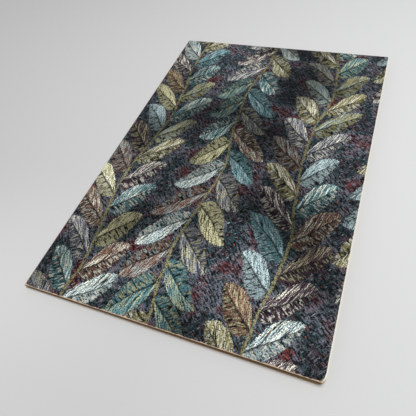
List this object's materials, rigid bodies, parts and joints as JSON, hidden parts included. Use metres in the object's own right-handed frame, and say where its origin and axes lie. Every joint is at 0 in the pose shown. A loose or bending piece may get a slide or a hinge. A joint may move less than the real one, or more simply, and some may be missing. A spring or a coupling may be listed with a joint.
{
  "type": "folded card",
  "caption": "Upright greeting card of three-ply board with a full-bleed printed front, lying closed and slightly ajar, whose front leaf opens flat about a springy rounded fold.",
  "frame": {"origin": "centre of the closed card's footprint, on the surface under the back leaf", "axes": "+X from the fold to the fore edge, +Y up the picture along the fold, +Z out of the back leaf towards the front leaf"},
  "size_m": [0.1016, 0.1524, 0.0035],
  "materials": {
    "printed_face": "satin full-colour print with fine short strokes, worn pale at the edges",
    "white_liner": "smooth coated white with a faint fibre grain",
    "kraft_liner": "uncoated light brown kraft with visible fibres",
    "board_core": "fibrous pale tan pulp, seen at the cut edges",
    "fold_board": "creased board, printed on its front half and warm white behind"
  },
  "bodies": {
    "back_leaf": {"back_outside_ply": "white_liner", "back_core_ply": "board_core", "back_inside_ply": "kraft_liner"},
    "fold_1": {"fold_facet_1": "fold_board"},
    "fold_2": {"fold_facet_2": "fold_board"},
    "fold_3": {"fold_facet_3": "fold_board"},
    "fold_4": {"fold_facet_4": "fold_board"},
    "fold_5": {"fold_facet_5": "fold_board"},
    "front_leaf": {"front_printed_ply": "printed_face", "front_core_ply": "board_core", "front_inside_ply": "kraft_liner"}
  },
  "joints": [
    {"name": "front_leaf_open", "type": "hinge", "parent": "back_leaf", "child": "front_leaf", "pos_m": [-0.05157, 0, 0.00119], "axis": [0, -1, 0], "range_deg": [0, 179.4]},
    {"name": "fold_turn_1", "type": "hinge", "parent": "back_leaf", "child": "fold_1", "pos_m": [-0.04997, 0, 0], "axis": [0, -1, 0], "range_deg": [0, 29.9]},
    {"name": "fold_turn_2", "type": "hinge", "parent": "back_leaf", "child": "fold_2", "pos_m": [-0.05029, 0, 0.00009], "axis": [0, -1, 0], "range_deg": [0, 59.8]},
    {"name": "fold_turn_3", "type": "hinge", "parent": "back_leaf", "child": "fold_3", "pos_m": [-0.05061, 0, 0.00023], "axis": [0, -1, 0], "range_deg": [0, 89.7]},
    {"name": "fold_turn_4", "type": "hinge", "parent": "back_leaf", "child": "fold_4", "pos_m": [-0.05093, 0, 0.00045], "axis": [0, -1, 0], "range_deg": [0, 119.6]},
    {"name": "fold_turn_5", "type": "hinge", "parent": "back_leaf", "child": "fold_5", "pos_m": [-0.05125, 0, 0.00076], "axis": [0, -1, 0], "range_deg": [0, 149.5]}
  ],
  "couplings": [
    {"joint": "fold_turn_1", "follows": "front_leaf_open", "ratio": 0.16667},
    {"joint": "fold_turn_2", "follows": "front_leaf_open", "ratio": 0.33333},
    {"joint": "fold_turn_3", "follows": "front_leaf_open", "ratio": 0.5},
    {"joint": "fold_turn_4", "follows": "front_leaf_open", "ratio": 0.66667},
    {"joint": "fold_turn_5", "follows": "front_leaf_open", "ratio": 0.83333}
  ]
}
